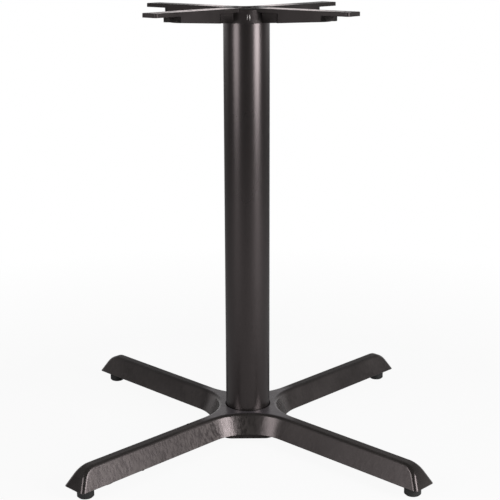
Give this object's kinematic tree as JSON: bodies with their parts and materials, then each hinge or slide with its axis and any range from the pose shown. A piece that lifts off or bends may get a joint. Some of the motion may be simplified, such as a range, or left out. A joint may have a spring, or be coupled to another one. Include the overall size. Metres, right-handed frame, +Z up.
{
  "type": "four star table base",
  "caption": "Pedestal table base: hollow cast iron cross foot on levelling glides, round steel column and cast iron spider with screw holes for the tabletop.",
  "frame": {"origin": "floor centre under the column, at the undersides of the glides", "axes": "+Z up along the column; the foot's arms lie on the diagonals of X and Y; the picture looks along +Y"},
  "size_m": [0.5752, 0.5752, 0.7366],
  "materials": {
    "black_iron": "satin black powder coat over ground sand casting",
    "black_tube": "satin black powder coat on steel tube",
    "zinc": "zinc plated steel",
    "black_nylon": "moulded nylon"
  },
  "bodies": {
    "frame": {"base_casting": "black_iron", "column_tube": "black_tube", "top_spider": "black_iron", "tie_rod": "zinc", "upper_washer": "zinc", "upper_nut": "zinc", "lower_washer": "zinc", "lower_nut": "zinc"},
    "glide_front_left": {"glide_foot_front_left": "black_nylon", "glide_stud_front_left": "zinc"},
    "glide_front_right": {"glide_foot_front_right": "black_nylon", "glide_stud_front_right": "zinc"},
    "glide_back_left": {"glide_foot_back_left": "black_nylon", "glide_stud_back_left": "zinc"},
    "glide_back_right": {"glide_foot_back_right": "black_nylon", "glide_stud_back_right": "zinc"}
  },
  "joints": [
    {"name": "level_front_left", "type": "slide", "parent": "frame", "child": "glide_front_left", "axis": [0, 0, -1], "range_m": [0, 0.01]},
    {"name": "level_front_right", "type": "slide", "parent": "frame", "child": "glide_front_right", "axis": [0, 0, -1], "range_m": [0, 0.01]},
    {"name": "level_back_left", "type": "slide", "parent": "frame", "child": "glide_back_left", "axis": [0, 0, -1], "range_m": [0, 0.01]},
    {"name": "level_back_right", "type": "slide", "parent": "frame", "child": "glide_back_right", "axis": [0, 0, -1], "range_m": [0, 0.01]}
  ]
}
